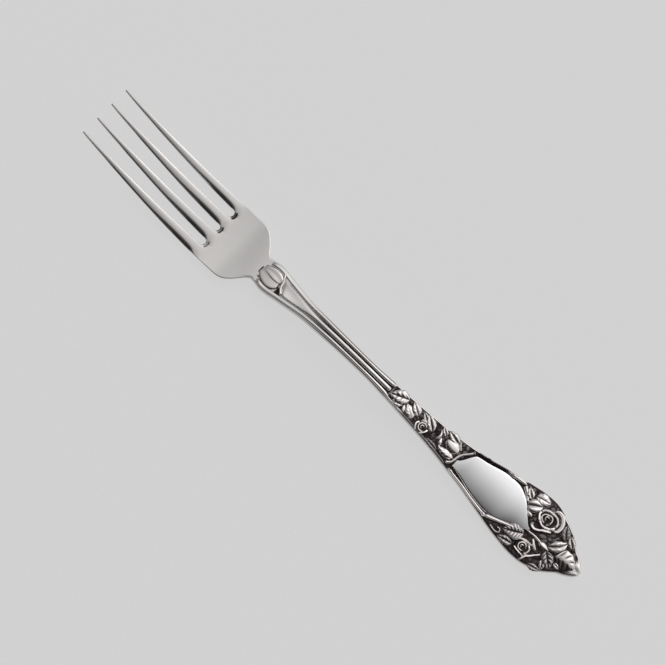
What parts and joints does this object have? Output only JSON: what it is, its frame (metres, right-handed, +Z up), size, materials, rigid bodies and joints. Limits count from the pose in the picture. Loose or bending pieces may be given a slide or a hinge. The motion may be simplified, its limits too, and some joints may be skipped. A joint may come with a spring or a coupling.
{
  "type": "dessert fork",
  "caption": "Silver dessert fork with long curved tines, a narrow neck, a reeded stem and a spatulate handle dressed with roses and leaves round a plain monogram panel.",
  "frame": {"origin": "on the table under the middle of the fork lying face up", "axes": "+X from the tine tips to the handle end, +Y to the eater's right, +Z up out of the face"},
  "size_m": [0.1756, 0.019, 0.0135],
  "materials": {
    "polished_silver": "hand-polished silver, lightly worn",
    "oxidised_silver": "silver ornament, blackened in the recesses and polished on top"
  },
  "bodies": {
    "root": {"fork_blank": "polished_silver", "monogram_panel": "polished_silver", "centre_reed": "polished_silver", "right_reed": "polished_silver", "left_reed": "polished_silver", "large_rose": "oxidised_silver", "small_rose": "oxidised_silver", "spray_rose": "oxidised_silver", "neck_bud": "oxidised_silver", "neck_petal": "oxidised_silver", "neck_stem": "oxidised_silver", "cluster_bud": "oxidised_silver", "panel_bud": "oxidised_silver", "panel_twig_end": "oxidised_silver", "panel_twig_right": "oxidised_silver", "panel_twig_left": "oxidised_silver", "cluster_twig_left": "oxidised_silver", "cluster_twig_right": "oxidised_silver", "spray_tip_leaf": "oxidised_silver", "spray_side_leaf": "oxidised_silver", "spray_leaf_left": "oxidised_silver", "spray_leaf_right": "oxidised_silver", "rose_leaf": "oxidised_silver", "curled_leaf": "oxidised_silver", "bud_leaf_left": "oxidised_silver", "bud_leaf_right": "oxidised_silver", "veined_leaf": "oxidised_silver", "low_leaf": "oxidised_silver", "upper_leaf": "oxidised_silver", "inner_leaf": "oxidised_silver", "corner_leaf": "oxidised_silver", "heart_leaf": "oxidised_silver", "right_leaf": "oxidised_silver", "middle_leaf": "oxidised_silver", "left_leaf": "oxidised_silver", "left_edge_leaf": "oxidised_silver", "tip_leaf": "oxidised_silver", "tendril": "oxidised_silver", "spray_low_leaf": "oxidised_silver", "rose_back_leaf": "oxidised_silver", "curled_leaflet": "oxidised_silver", "upper_spray_leaf": "oxidised_silver", "low_spray_leaf": "oxidised_silver", "shade_leaf": "oxidised_silver", "left_low_leaf": "oxidised_silver", "tip_side_leaf": "oxidised_silver", "bud_stem": "oxidised_silver", "middle_stem": "oxidised_silver"}
  },
  "joints": []
}
